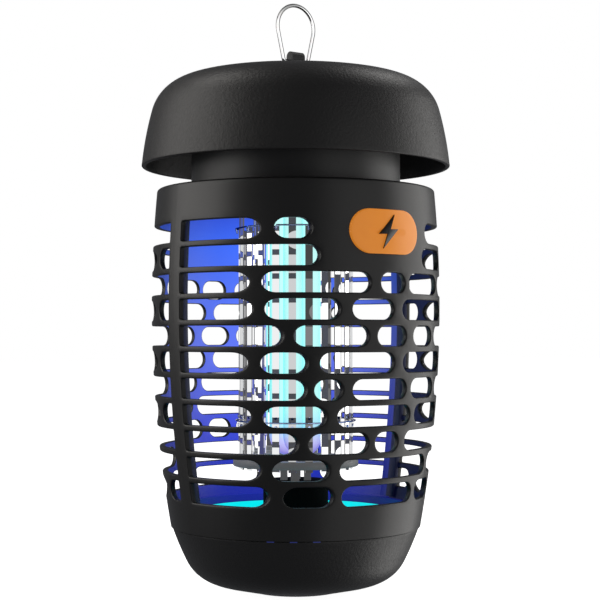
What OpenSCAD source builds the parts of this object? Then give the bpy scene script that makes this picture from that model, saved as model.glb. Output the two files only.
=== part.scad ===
// Hanging electric insect killer. A barrel cage of two identical half mouldings stands round an
// ultraviolet lamp and a high-voltage grid. A neck and a wide hood above it hold the electrics, a
// collection tray twists on below, and a wire bail on top hangs it up.
// Millimetres. The front faces -Y, +Z is up, and the tray's flat base lies at z = 0.

/* [Heights] */
// Height of the seam between the tray and the cage
seam_z = 34.4; // [34:0.1:35]
// Height of the cage's flat top
cage_top_z = 213; // [212.5:0.1:213.5]
// Height of the hood's lower rim
hood_rim_z = 225; // [224:0.5:226]
// Height of the bail's pivot
pivot_z = 282.5; // [282:0.1:283]

/* [Hood and neck] */
// Radius of the hood's lower rim
hood_r = 82.5; // [82:0.1:83]
// Thickness of the hood's wall
hood_wall = 2.3; // [2:0.1:2.6]
// Outer radius of the neck
neck_r = 56; // [55.5:0.1:56.5]
// Thickness of the neck's wall and floor
neck_wall = 2.5; // [2:0.1:3]

/* [Cage] */
// Largest outer radius of the barrel
barrel_r = 76.9; // [76.5:0.1:77.3]
// Height at which the barrel is widest
barrel_z = 152; // [150:1:154]
// How slowly the barrel narrows away from its widest height
barrel_slack = 1320; // [1300:10:1340]
// Thickness of the cage's wall
cage_wall = 3; // [2.6:0.1:3.4]
// Height of one slot
slot_h = 10.2; // [9.8:0.1:10.4]
// Height from one row of slots to the next
slot_pitch = 13.15; // [13.1:0.05:13.2]
// Height of the top row's middle
top_row_z = 187.6; // [187:0.1:188]
// Half the width of the joint ribs at the sides
rib_half = 5.3; // [5:0.1:5.6]
// Depth of the joint ribs
rib_depth = 5.5; // [5:0.1:6]

/* [Grid and lamp] */
// Number of strips, live and earthed ones in turn
strip_count = 22; // [20:2:24]
// Radius of the ring of strips
grid_r = 30.3; // [30:0.1:31]
// Width of a strip
strip_w = 3.9; // [3.5:0.1:4.2]
// Thickness of a strip
strip_t = 0.8; // [0.6:0.1:1]
// Radius of one of the lamp's four glass tubes
tube_r = 5.5; // [5:0.1:5.8]
// Distance between neighbouring tubes
tube_pitch = 12.4; // [12.2:0.1:12.8]

/* [Tray] */
// Outer radius of the tray at the seam
tray_r = 65.7; // [65.5:0.1:65.9]
// Thickness of the tray's wall
tray_wall = 2.2; // [2:0.1:2.4]
// Radius of the flat base
base_r = 24; // [22:1:26]
// Turn of the tray from locked to free, in degrees
tray_turn = 24; // [20:1:26]

/* [Bail] */
// Radius of the bail's wire
wire_r = 1; // [0.9:0.05:1.05]
// Radius of the loop, to the middle of the wire
loop_r = 12; // [11.5:0.1:12.5]
// Height of the loop's middle above the pivot
loop_rise = 18.7; // [18:0.1:19]

/* [Hidden] */

$fn = 64;
gap = 0.05;               // running clearance of a pin or screw in its bore
body_gap = 0.3;           // least distance between a fixed piece and a moving one

// The tray's outline below its rim: arc radius and the angles it runs between.
tray_side = [140.6, -19, -27];
tray_corner = [22, -27, -75];
END = 99;                 // a slot that runs on into the joint rib

rim_lean = 5.3;           // the hood's lean at its rim, in degrees
side_lean = 15.2;         // and at the foot of its shoulder
crown_lean = 78.5;        // and at the edge of its crown
side_r = 177.6;
shoulder_r = 23.7;
crown_r = 296;

floor_top_z = cage_top_z + neck_wall;
flange_t = 2.5;
flange_r = 46;            // inner radius of the cage's top flange
cage_screw_r = 50;
hood_screw_r = 40;
screw_r = 1.55;
head_r = 3.2;
head_h = 2;

spider_z = 66;            // underside of the spider's ring
spider_t = 4;
strip_low_z = 64.5;
live_top_z = 192;
insulator_z = 203;
insulator_t = 5;
link_r = grid_r + 2;
link_wire_r = 0.5;
hub_r = 17.4;
hub_z = 38;
hub_top_z = 58;
lamp_low_z = spider_z + spider_t + 0.8;

board_z = 238;
board_t = 1.6;
board_top_z = board_z + board_t;
post_x = 24;
post_y = 20;

collar_r = 59.5;          // outer radius of the tray's collar
collar_top_z = seam_z + 6.4;
spoke_z = collar_top_z + 0.4;
spoke_h = 3.4;
ring_in_r = collar_r + 0.5;
ring_out_r = 63.1;
ridge_r = 64.9;           // the ring's ridge, which the two halves of the cage clamp
lug_out_r = 61.6;
lug_low_z = seam_z + 2.2;
lug_h = 2.2;
lug_half_angle = 5;

lug_first = 200;          // direction of the first of the tray's three lugs, when locked
spoke_turn = 53.5;        // direction of the first of the base frame's three spokes
strip_first = -129.8;     // direction of the first strip
grid_bolt_r = 24.5;       // distance of the insulator's bolts from the middle
bolt_r = 1.5;
pin_r = 1.2;              // the lamp's contact pins
pin_out = 9;
socket_r = 18.9;
cap_top_z = 214.4;

badge_w = 43;
badge_h = 22.2;
badge_z = 186.6;
badge_t = 1.2;            // how far the badge stands out from the cage
badge_rise = 0.8;         // and its bolt of lightning from the badge

neck_top_z = 268;
column_r = 4.5;           // the hood's screw columns
shank_r = 3;              // the lug's threaded shank, and where its end is
shank_low_z = 264;
thread_r = 5;             // the inlet's threaded neck and how far it reaches inside
thread_h = 8;
lead_hole_r = 2.2;        // holes for the grid's leads in the neck's floor
live_hole = [35.7, -10.3];
earth_hole = [-29, -14];
lead_r = 0.9;
coil_x = -19;             // place of the transformer on the board
solder_h = 0.2;           // a lead ends this far above the board

lug_half_x = 4;
bend_r = 1.5;             // radius of the bail's bends, to the middle of the wire
foot_out = 2.7;           // from the lug's side to where a bend starts
foot_in = 3;              // length of each of the bail's ends inside the lug
swell = 0.02;             // the wire is this much fatter in a bend
lap = 0.15;               // and its straight stretches reach this far into one

gland_turn = 53.5;        // direction of the cord's inlet, from +X, out of the bail's swing
gland_out = 38;           // distance of the inlet from the middle
gland_r = 7;
cord_bore_r = 3.3;

// The slots of one half moulding, from the top row down: the left and right end of each slot.
slot_rows = [
    [[-END, -58], [-53, -38], [31, END]],
    [[-END, -35], [27, 54], [59, 73]],
    [[-END, -62], [-58, -10], [-4, 12], [15, 44], [47, END]],
    [[-END, -61], [-57, -26], [-20, 4], [10, 54], [59, 73]],
    [[-END, -50], [-46, -11], [-6, 13], [19, 37], [41, END]],
    [[-END, -62], [-58, -40], [-35, 5], [11, 54], [59, 73]],
    [[-END, -40], [-37, -24], [-19, 14], [18, 41], [45, END]],
    [[-END, -60], [-56, -31], [-26, 18], [22, 52], [57, 71]],
    [[-END, -42], [-38, -9], [-5, 10], [15, END]],
    [[-END, -55], [-51, -28], [-23, 37], [41, END]],
    [[-END, -51], [-46, -25], [-21, 24], [28, 48], [53, 66]]
];
// Rows in which a side window stands between the last slot and the rib.
window_rows = [1, 3, 5, 7, 10];
window_reach = 17;

function last(list) = list[len(list) - 1];

// An arc that starts at p, on which the outward direction turns from a0 to a1.
function arc(p, r, a0, a1, n = 8) = [
    for (i = [0 : n]) let (a = a0 + (a1 - a0) * i / n) p + r * ([cos(a), sin(a)] - [cos(a0), sin(a0)])
];

function reversed(list) = [for (i = [len(list) - 1 : -1 : 0]) list[i]];

// The hood's outline from rim to axis, set in from the outer face by d.
function hood_line(d) =
    let (
        side = arc([hood_r, hood_rim_z] - d * [cos(rim_lean), 0], side_r - d, rim_lean, side_lean, 6),
        shoulder = arc(last(side), shoulder_r - d, side_lean, crown_lean, 10),
        crown = arc(last(shoulder), crown_r - d, crown_lean, 90, 6)
    ) concat(side, [for (i = [1 : 10]) shoulder[i]], [for (i = [1 : 5]) crown[i]], [[0, last(crown)[1]]]);

// Outer radius of the barrel at height z.
function barrel(z) = barrel_r - (z - barrel_z) * (z - barrel_z) / barrel_slack;

// The barrel's outline from z0 up to z1, set in by d.
function barrel_line(z0, z1, d, n = 12) = [
    for (i = [0 : n]) let (z = z0 + (z1 - z0) * i / n) [barrel(z) - d, z]
];

// The tray's outline from the seam down to the base, set in by d.
function tray_line(d) =
    let (
        rim = [tray_r, seam_z - body_gap] - d * [1, 0],
        side = arc(rim, tray_side[0] - d, tray_side[1], tray_side[2], 5),
        corner = arc(last(side), tray_corner[0] - d, tray_corner[1], tray_corner[2], 8)
    ) concat(side, [for (i = [1 : 8]) corner[i]]);

// A smooth curve through points, for a loose lead.
function spline(p, n = 6) = [
    for (i = [0 : len(p) - 2], k = [0 : n - 1])
        let (
            t = k / n,
            a = p[max(i - 1, 0)],
            b = p[i],
            c = p[i + 1],
            d = p[min(i + 2, len(p) - 1)]
        ) 0.5 * (2 * b + (c - a) * t + (2 * a - 5 * b + 4 * c - d) * t * t
            + (3 * b - 3 * c + d - a) * t * t * t),
    last(p)
];

function unit(v) = v / norm(v);

// A closed round tube swept along points.
module lead(points, r, sides = 8) {
    path = spline(points);
    n = len(path);
    rings = [
        for (i = [0 : n - 1])
            let (
                t = unit(path[min(i + 1, n - 1)] - path[max(i - 1, 0)]),
                u = unit(cross(t, abs(t[0]) < 0.8 ? [1, 0, 0] : [0, 1, 0])),
                v = cross(t, u)
            ) [for (k = [0 : sides - 1]) path[i] + r * (cos(360 * k / sides) * u + sin(360 * k / sides) * v)]
    ];
    walls = [
        for (i = [0 : n - 2], k = [0 : sides - 1])
            let (m = (k + 1) % sides) [i * sides + k, i * sides + m, (i + 1) * sides + m, (i + 1) * sides + k]
    ];
    ends = [[for (k = [sides - 1 : -1 : 0]) k], [for (k = [0 : sides - 1]) (n - 1) * sides + k]];
    polyhedron([for (ring = rings, p = ring) p], concat(walls, ends), convexity = 4);
}

// Copies of the children at equal turns about the axis.
module around(count, first = 0) {
    for (i = [0 : count - 1]) rotate(first + i * 360 / count) children();
}

// A pan-head screw that points up, with its head below z.
module screw(z, length) {
    translate([0, 0, z - head_h]) cylinder(r = head_r, h = head_h);
    translate([0, 0, z]) cylinder(r = screw_r, h = length);
}

// A ring of rectangular section.
module ring(r0, r1, z0, z1) {
    translate([0, 0, z0]) rotate_extrude() translate([r0, 0]) square([r1 - r0, z1 - z0]);
}

// The hood: one thin spun shape with four screw columns inside its crown.
module hood() {
    color("#262626") difference() {
        union() {
            rotate_extrude() polygon(concat(hood_line(0), reversed(hood_line(hood_wall))));
            around(4) translate([hood_screw_r, 0, floor_top_z])
                cylinder(r = column_r, h = hood_rim_z + 49 - floor_top_z, $fn = 32);
        }
        around(4) translate([hood_screw_r, 0, floor_top_z - 1]) cylinder(r = screw_r + gap, h = 17);
        translate([0, 0, neck_top_z + 2]) cylinder(r = shank_r + 0.1, h = 10);
        on_crown() translate([0, 0, -thread_h]) cylinder(r = thread_r + 0.1, h = 10);
    }
}

// Puts its children on the crown where the cord enters, square to the surface.
module on_crown() {
    tilt = asin(gland_out / crown_r);
    crown_z = last(hood_line(0))[1] - crown_r;
    rotate(gland_turn) translate([0, 0, crown_z]) rotate([0, tilt, 0]) translate([0, 0, crown_r]) children();
}

module hood_seal() {
    color("#181818") ring(neck_r - neck_wall, neck_r, neck_top_z, neck_top_z + 2.1);
}

// The lug: an eye block on a round flange, with a threaded shank through the crown.
module hanger_lug() {
    flange_z = last(hood_line(0))[1] + 0.02;
    eye_z = pivot_z + 2.5;
    color("#1e1e1e") difference() {
        union() {
            translate([0, 0, flange_z]) cylinder(r = 6.5, h = 1);
            translate([-lug_half_x, -3, flange_z]) cube([2 * lug_half_x, 6, eye_z - flange_z]);
            translate([-lug_half_x, 0, eye_z]) rotate([0, 90, 0]) cylinder(r = 3, h = 2 * lug_half_x);
            translate([0, 0, shank_low_z]) cylinder(r = shank_r, h = flange_z - shank_low_z);
        }
        translate([-lug_half_x - 1, 0, pivot_z]) rotate([0, 90, 0])
            cylinder(r = wire_r + gap, h = 2 * lug_half_x + 2);
    }
}

// The lug's nut, under a thick washer that fills the space below the crown.
module lug_nut() {
    nut_h = 4.5;
    washer_h = 5.6;
    washer_z = neck_top_z + 2;
    color("#b8b8b8") difference() {
        union() {
            translate([0, 0, washer_z - nut_h]) cylinder(r = 5.8, h = nut_h, $fn = 6);
            translate([0, 0, washer_z]) cylinder(r = 7.5, h = washer_h);
        }
        translate([0, 0, shank_low_z]) cylinder(r = shank_r + gap, h = 13);
    }
}

// The cord's inlet: a dome-topped gland with a thread below the crown.
module cord_gland() {
    dome = arc([gland_r - 1, 1.5], 3.4, 20, 75, 5);
    color("#1a1a1a") on_crown() rotate_extrude() polygon(concat(
        [[cord_bore_r, -thread_h], [thread_r, -thread_h], [thread_r, 0], [gland_r, 0], [gland_r, 1.5]],
        dome, [[cord_bore_r, last(dome)[1] + 0.2]]));
}

module gland_nut() {
    color("#202020") on_crown() translate([0, 0, -6.6]) difference() {
        cylinder(r = 7.5, h = 4, $fn = 6);
        translate([0, 0, -1]) cylinder(r = thread_r + gap, h = 6);
    }
}

// The neck: a round cup that holds the electrics, with bosses for the cage's screws and posts for
// the circuit board on its floor.
module neck_housing() {
    color("#2a2a2a") difference() {
        union() {
            ring(neck_r - neck_wall, neck_r, cage_top_z, neck_top_z);
            translate([0, 0, cage_top_z]) cylinder(r = neck_r - 1, h = neck_wall);
            around(4, 45) translate([cage_screw_r, 0, floor_top_z - 1]) cylinder(r = 4, h = 8, $fn = 32);
            board_posts(3, floor_top_z - 1, board_z);
        }
        around(4, 45) translate([cage_screw_r, 0, cage_top_z - 1]) cylinder(r = screw_r + gap, h = 8.5);
        around(4) translate([hood_screw_r, 0, cage_top_z - 1]) cylinder(r = 1.9, h = 8);
        around(3, 30) translate([grid_bolt_r, 0, cage_top_z - 1]) cylinder(r = bolt_r + gap, h = 8);
        translate([0, 0, cage_top_z - 1]) cylinder(r = socket_r + 0.3, h = 8);
        board_posts(1.25 + gap, board_z - 12, board_z + 1);
        for (p = [live_hole, earth_hole]) translate([p[0], p[1], cage_top_z - 1]) cylinder(r = lead_hole_r, h = 8);
    }
}

module board_posts(r, z0, z1) {
    for (x = [-post_x, post_x], y = [-post_y, post_y])
        translate([x, y, z0]) cylinder(r = r, h = z1 - z0, $fn = 32);
}

module hood_screws() {
    color("#c0c0c0") around(4) translate([hood_screw_r, 0, 0]) screw(cage_top_z, 14);
}

module cage_screws() {
    color("#c0c0c0") around(4, 45) translate([cage_screw_r, 0, 0]) screw(cage_top_z - flange_t, 8);
}

// The outline of one slot or of one square-ended stretch, centred on z = 0.
module slot_outline(x0, x1) {
    r = slot_h / 2;
    left = x0 > -END ? x0 + r : x0;
    right = x1 < END ? x1 - r : x1;
    translate([left, -r]) square([right - left, slot_h]);
    if (x0 > -END) translate([left, 0]) circle(r = r);
    if (x1 < END) translate([right, 0]) circle(r = r);
}

// All the openings of one half, cut straight in the direction in which its mould opens.
module slots() {
    reach = barrel_r + 3;
    for (row = [0 : len(slot_rows) - 1]) {
        z = top_row_z - row * slot_pitch;
        translate([0, -rib_half, z]) rotate([90, 0, 0]) linear_extrude(reach)
            for (s = slot_rows[row]) slot_outline(max(s[0], -END), min(s[1], END));
    }
    for (row = window_rows) {
        z = top_row_z - row * slot_pitch;
        translate([cage_top_z / 5, 0, z]) rotate([90, 0, 90]) linear_extrude(reach)
            intersection() {
                slot_outline(-window_reach, END);
                translate([-reach, -slot_h]) square([reach - rib_half, 2 * slot_h]);
            }
    }
}

// One half of the cage, the one in front.
module cage_half() {
    corner_r = 1.6;
    wall_top_z = cage_top_z - corner_r;
    top_lean = 5.3;
    rib_low_z = spoke_z + spoke_h + 0.6;
    corner = arc([barrel(wall_top_z), wall_top_z], corner_r, top_lean, 90, 4);
    difference() {
        union() {
            rotate(180) rotate_extrude(angle = 180) polygon(concat(
                barrel_line(seam_z, wall_top_z, 0), [for (i = [1 : 4]) corner[i]],
                [[flange_r, last(corner)[1]], [flange_r, cage_top_z - flange_t]],
                reversed(barrel_line(seam_z, cage_top_z - flange_t, cage_wall))));
            intersection() {
                rotate(180) rotate_extrude(angle = 180) polygon(concat(
                    barrel_line(rib_low_z, cage_top_z - flange_t, cage_wall / 2),
                    reversed(barrel_line(rib_low_z, cage_top_z - flange_t, rib_depth))));
                translate([-barrel_r, -rib_half, 0]) cube([2 * barrel_r, rib_half, cage_top_z]);
            }
        }
        slots();
        for (a = [225, 315]) rotate(a) translate([cage_screw_r, 0, cage_top_z - flange_t - 1])
            cylinder(r = 1.8, h = 5);
        ring(ring_in_r, ridge_r + 0.3, seam_z + 4.9, seam_z + 6.9);
    }
}

module cage_front() {
    color("#2b2b2b") cage_half();
}

module cage_rear() {
    color("#2b2b2b") rotate(180) cage_half();
}

// The badge: a plain pill-shaped plaque that follows the barrel, with a bolt of lightning on it.
module on_barrel(t0, t1) {
    z0 = badge_z - badge_h / 2 - 1;
    z1 = badge_z + badge_h / 2 + 1;
    intersection() {
        rotate_extrude() polygon(concat(barrel_line(z0, z1, -t1, 4), reversed(barrel_line(z0, z1, -t0, 4))));
        translate([0, -barrel_r / 2, badge_z]) rotate([90, 0, 0]) linear_extrude(barrel_r) children();
    }
}

module front_badge() {
    bolt = [[3.5, 9], [-6, -1.2], [-1, -1.2], [-3.5, -9], [6, 1.2], [1, 1.2]];
    end_x = badge_w / 2 - badge_h / 2;
    color("#e08020") on_barrel(0.02, badge_t) {
        translate([-end_x, -badge_h / 2]) square([2 * end_x, badge_h]);
        for (x = [-end_x, end_x]) translate([x, 0]) circle(r = badge_h / 2);
    }
    color("#1e1e1e") on_barrel(badge_t - 0.1, badge_t + badge_rise) polygon(bolt);
}

// The frame inside the cage's foot: a ring with the tray's bayonet, three spokes and the hub.
module base_frame() {
    entry_half = lug_half_angle + 1.2;
    ring_top_z = spoke_z + spoke_h;
    ridge_z = seam_z + 5.1;
    ridge_h = 1.6;
    color("#161616") difference() {
        union() {
            rotate_extrude() polygon([
                [ring_in_r, seam_z], [ring_out_r, seam_z], [ring_out_r, ridge_z], [ridge_r, ridge_z],
                [ridge_r, ridge_z + ridge_h], [ring_out_r, ridge_z + ridge_h], [ring_out_r, ring_top_z],
                [ring_in_r, ring_top_z]]);
            translate([0, 0, hub_z]) cylinder(r = hub_r, h = hub_top_z - hub_z);
            around(3, spoke_turn) translate([hub_r - 1, -2, spoke_z])
                cube([ring_in_r + 2 - hub_r, 4, spoke_h - 0.3]);
        }
        translate([0, 0, hub_z - 1]) cylinder(r = hub_r - 2, h = hub_top_z - hub_z - 1.5);
        around(3, lug_first) {
            sector(ring_in_r - 1, lug_out_r + 0.5, -entry_half, tray_turn + entry_half,
                lug_low_z - 0.4, lug_low_z + lug_h + 0.4);
            sector(ring_in_r - 1, lug_out_r + 0.45, tray_turn - entry_half + 0.1, tray_turn + entry_half - 0.1,
                seam_z - 1, lug_low_z + 1);
        }
    }
}

// A part of a ring, from angle a0 to a1.
module sector(r0, r1, a0, a1, z0, z1) {
    rotate(a0) translate([0, 0, z0]) rotate_extrude(angle = a1 - a0)
        translate([r0, 0]) square([r1 - r0, z1 - z0]);
}

// One arm of the spider, whose underside sweeps down into a leg on the hub.
module spider_arm() {
    arm_w = 4.4;
    leg_in = 4.5;
    leg_out = 8.1;
    sweep_r = 4.4;
    sweep = [for (a = [180 : -15 : 90])
        [leg_out + sweep_r, spider_z - sweep_r] + sweep_r * [cos(a), sin(a)]];
    translate([0, arm_w / 2, 0]) rotate([90, 0, 0]) linear_extrude(arm_w) polygon(concat(
        [[leg_in, hub_top_z], [leg_out, hub_top_z]], sweep,
        [[27.5, spider_z], [27.5, spider_z + spider_t], [leg_in, spider_z + spider_t]]));
}

// The spider: it carries the strips' lower ends on the hub.
module grid_spider() {
    color("#6a6a6e") difference() {
        union() {
            ring(26.5, 33.5, spider_z, spider_z + spider_t);
            translate([0, 0, spider_z]) cylinder(r = 8, h = spider_t);
            around(4, strip_first) spider_arm();
        }
        at_strips(0, strip_count - 1, 1)
            strip(spider_z - 1, spider_z + spider_t + 1, strip_t + 2 * gap, strip_w + 2 * gap);
    }
}

// Repeats a strip's place round the grid.
module at_strips(from, to, step) {
    for (i = [from : step : to]) rotate(strip_first + i * 360 / strip_count) translate([grid_r, 0, 0]) children();
}

module strip(z0, z1, t = strip_t, w = strip_w) {
    translate([-t / 2, -w / 2, z0]) cube([t, w, z1 - z0]);
}

module live_strips() {
    color("#d8d8dc") at_strips(1, strip_count - 1, 2) strip(strip_low_z, live_top_z);
}

module earth_strips() {
    color("#d8d8dc") at_strips(0, strip_count - 2, 2) strip(strip_low_z, insulator_z + insulator_t + 1);
}

// A wire ring outside the strips, with a short leg to every second strip.
module wire_ring(z, first) {
    rotate_extrude() translate([link_r, z]) circle(r = link_wire_r, $fn = 24);
    at_strips(first, strip_count - 2 + first, 2) translate([strip_t / 2, 0, z]) rotate([0, 90, 0])
        cylinder(r = link_wire_r * 0.9, h = link_r - grid_r - strip_t / 2, $fn = 24);
}

module live_link() {
    color("#c4d4e8") wire_ring(live_top_z - 0.8, 1);
}

module earth_ring() {
    color("#c4d4e8") wire_ring(90, 0);
}

// The disc that holds the earthed strips' upper ends, under the neck.
module grid_insulator() {
    color("#e8e6e0") difference() {
        translate([0, 0, insulator_z]) cylinder(r = 35, h = insulator_t);
        translate([0, 0, insulator_z - 1]) cylinder(r = 16.5, h = insulator_t + 2);
        at_strips(0, strip_count - 2, 2)
            strip(insulator_z - 1, insulator_z + insulator_t + 1, strip_t + 2 * gap, strip_w + 2 * gap);
        around(3, 30) translate([grid_bolt_r, 0, insulator_z - 1]) cylinder(r = bolt_r + gap, h = 8);
    }
}

module grid_spacers() {
    color("#e8e6e0") around(3, 30) translate([grid_bolt_r, 0, 0]) difference() {
        translate([0, 0, insulator_z + insulator_t]) cylinder(r = 3.4, h = cage_top_z - insulator_z - insulator_t);
        translate([0, 0, insulator_z]) cylinder(r = bolt_r + gap, h = 20);
    }
}

module grid_bolts() {
    color("#c0c0c0") around(3, 30) translate([grid_bolt_r, 0, 0]) {
        translate([0, 0, insulator_z - 2]) cylinder(r = 2.8, h = 2);
        translate([0, 0, insulator_z]) cylinder(r = bolt_r, h = 16);
        translate([0, 0, floor_top_z]) cylinder(r = 3, h = 2.4, $fn = 6);
    }
}

// The lampholder: a round body on a flange, with four contact bores from below.
module lamp_socket() {
    color("#ececE8") difference() {
        union() {
            translate([0, 0, cap_top_z + 0.1]) cylinder(r = socket_r, h = 17);
            translate([0, 0, floor_top_z]) cylinder(r = 21.3, h = 2.5);
        }
        at_pins() translate([0, 0, cap_top_z - 0.4]) cylinder(r = pin_r + gap, h = 9);
    }
}

module at_pins() {
    around(4, 45) translate([pin_out, 0, 0]) children();
}

// The lamp's plastic cap, with its four pins.
module lamp_cap() {
    cap_low_z = 201.5;
    color("#f0f0ee") difference() {
        union() {
            translate([0, 0, cap_low_z]) cylinder(r = 16, h = cap_top_z - cap_low_z);
            at_pins() translate([0, 0, cap_top_z - 0.4]) cylinder(r = pin_r, h = 8);
        }
        at_tubes() translate([0, 0, cap_low_z - 1]) cylinder(r = tube_r + gap, h = 9);
    }
}

module at_tubes() {
    for (x = [-0.5, 0.5], y = [-0.5, 0.5]) translate([x * tube_pitch, y * tube_pitch, 0]) children();
}

// The lamp's glass: two U-shaped tubes side by side, bent at the foot, joined by a short bridge.
module uv_lamp() {
    glass_top_z = 209;
    bend_r = tube_pitch / 2;
    bend_z = lamp_low_z + bend_r + tube_r;
    color("#9cf0ff") {
        at_tubes() translate([0, 0, bend_z]) cylinder(r = tube_r, h = glass_top_z - bend_z);
        for (y = [-bend_r, bend_r]) translate([0, y, bend_z]) rotate([-90, 0, 0])
            rotate_extrude(angle = 180) translate([bend_r, 0]) circle(r = tube_r);
        translate([bend_r, -1.5, 190]) rotate([-90, 0, 0]) cylinder(r = 2, h = 3);
    }
}

module circuit_board() {
    color("#2e7d4f") difference() {
        translate([-28, -25, board_z]) cube([56, 50, board_t]);
        board_posts(1.5, board_z - 1, board_z + 4);
    }
}

module board_screws() {
    color("#c0c0c0") {
        board_posts(1.25, board_z - 8, board_top_z + 0.5);
        board_posts(2.4, board_top_z, board_top_z + 1.6);
    }
}

// The step-up transformer: a core with two windows, and the winding on its middle leg.
module transformer_core() {
    core = [14, 22, 20];
    window = [4.8, 12];
    color("#3c3c40") translate([coil_x - core[0] / 2, -core[1] / 2, board_top_z]) difference() {
        cube(core);
        for (y = [3, 14.2]) translate([-1, y, 4]) cube([core[0] + 2, window[0], window[1]]);
    }
}

module transformer_coil() {
    coil = [17.2, 15.8, 11.8];
    leg = [14.2, 6.6];
    color("#c98d3a") translate([coil_x, 0, board_top_z + 4.1]) difference() {
        translate([-coil[0] / 2, -coil[1] / 2, 0]) cube(coil);
        translate([-leg[0] / 2, -leg[1] / 2, -1]) cube([leg[0], leg[1], coil[2] + 2]);
    }
}

// Three reservoir capacitors in a row and a smaller one beside them.
module capacitors() {
    color("#3355aa") {
        for (y = [-14, 0, 14]) translate([4, y, board_top_z]) cylinder(r = 5, h = 15);
        translate([16, -6, board_top_z]) cylinder(r = 3.5, h = 9);
    }
}

module resistors() {
    resistor_r = 1.5;
    color("#c7b78a") for (x = [14, 19]) translate([x, -22, board_top_z + resistor_r]) rotate([-90, 0, 0])
        cylinder(r = resistor_r, h = 9);
}

// The voltage multiplier: two potted blocks behind the transformer.
module voltage_multiplier() {
    color("#20242c") {
        translate([-11, 14.5, board_top_z]) cube([8, 9, 11]);
        translate([-21, 14.5, board_top_z]) cube([9, 9, 9]);
    }
}

module fuse() {
    fuse_r = 2.5;
    color("#d8d8d8") translate([17, 3, board_top_z + fuse_r + 0.1]) rotate([-90, 0, 0])
        cylinder(r = fuse_r, h = 16);
}

// The mains leads run from below the inlet to the board.
module mains_leads() {
    color("#5a3a20") for (s = [0, 1]) translate([2.6 * s, -1.2 * s, 0])
        lead([[20.8, 30.2, 266.5], [20.9, 29.8, 263], [21, 28, 258], [21.5, 23, 251], [22, 18, 246],
            [22, 16.3, 243], [22, 16, board_top_z + solder_h]], 1);
}

// The lamp's leads run from the lampholder round the board's front edge.
module lamp_leads() {
    color("#d8d8d8") for (s = [-1, 1])
        lead([[s * 8, -8, 232.6], [s * 9, -12, 234], [s * 11, -18, 235.5], [s * 11, -27, 238],
            [s * 10, -27, 242], [s * 9, -22.5, 242], [s * 9, -22, board_top_z + solder_h]], lead_r);
}

// The grid's leads: the live one goes up past the insulator's edge from the link of the live
// strips, and the earthed one starts at the end of an earthed strip.
module grid_leads() {
    color("#b03028") {
        lead([[32.5, -9.3, 191.6], [33.9, -9.8, 193.4], [35.7, -10.3, 198], concat(live_hole, [206]),
            concat(live_hole, [216]), [34.5, -12.6, 228], [32.5, -14, 240], [28, -14, 246],
            [24, -13, 243.5], [23, -13, board_top_z + solder_h]], lead_r);
        lead([[-29, -8.9, 210.5], [-29, -12, 211.6], [-29, -13.9, 215], [-31, -16, 226],
            [-32.5, -14, 240], [-28, -14, 246], [-24, -13, 243.5], [-23, -13, board_top_z + solder_h]], lead_r);
    }
}

// The tray: a shallow bowl with a collar that turns inside the cage's foot on three lugs.
module collection_tray() {
    out = tray_line(0);
    inner = tray_line(tray_wall);
    mark = 0.6;
    mark_turn = -127.4;
    color("#242424") difference() {
        union() {
            rotate_extrude() polygon(concat(
                [[collar_r - 2, collar_top_z], [collar_r, collar_top_z], [collar_r, seam_z - body_gap]],
                out, [[base_r, 0], [0, 0], [0, tray_wall], [base_r, tray_wall]],
                reversed([for (p = inner) if (p[1] < seam_z - 3.5) p]),
                [[collar_r - 2, seam_z - 3]]));
            around(3, lug_first)
                sector(collar_r - 1, lug_out_r, -lug_half_angle, lug_half_angle, lug_low_z, lug_low_z + lug_h);
        }
        for (a = [-1, 0, 1]) rotate(mark_turn + a * 10)
            translate([tray_r - mark, -1.3, seam_z - body_gap - 0.8]) cube([2, 2.6, 2]);
    }
}

// The bail: a pear-shaped wire loop whose legs bend in to the lug. Each leg is the common tangent
// of the loop and of the bend at its foot.
module hanging_bail() {
    loop_z = pivot_z + loop_rise;
    bend_x = lug_half_x + foot_out;
    bend_z = pivot_z + bend_r;
    apart = norm([bend_x, loop_z - bend_z]);
    lean = asin((loop_r - bend_r) / apart) - atan2(bend_x, loop_z - bend_z);
    leg_h = sqrt(apart * apart - (loop_r - bend_r) * (loop_r - bend_r));
    color("#d0d0d4") {
        translate([0, 0, loop_z]) rotate([90, 0, 0]) rotate(-lean) rotate_extrude(angle = 180 + 2 * lean)
            translate([loop_r, 0]) circle(r = wire_r + swell);
        for (s = [0, 1]) mirror([s, 0, 0]) {
            translate([bend_x, 0, bend_z]) rotate([90, 0, 0]) rotate(-90) rotate_extrude(angle = 90 - lean)
                translate([bend_r, 0]) circle(r = wire_r + swell);
            translate([bend_x + bend_r * cos(lean), 0, bend_z - bend_r * sin(lean)]) rotate([0, lean, 0])
                translate([0, 0, -lap]) cylinder(r = wire_r, h = leg_h + 2 * lap);
            translate([lug_half_x - foot_in, 0, pivot_z]) rotate([0, 90, 0])
                cylinder(r = wire_r, h = foot_in + foot_out + lap);
        }
    }
}

hood();
hood_seal();
hanger_lug();
lug_nut();
cord_gland();
gland_nut();
neck_housing();
hood_screws();
cage_front();
cage_rear();
cage_screws();
front_badge();
base_frame();
grid_spider();
live_strips();
live_link();
earth_strips();
earth_ring();
grid_insulator();
grid_spacers();
grid_bolts();
lamp_socket();
lamp_cap();
uv_lamp();
circuit_board();
board_screws();
transformer_core();
transformer_coil();
capacitors();
resistors();
voltage_multiplier();
fuse();
mains_leads();
lamp_leads();
grid_leads();
collection_tray();
hanging_bail();
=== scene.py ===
import math

import bpy
import bmesh
from mathutils import Matrix, Vector
from mathutils.geometry import delaunay_2d_cdt


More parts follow.
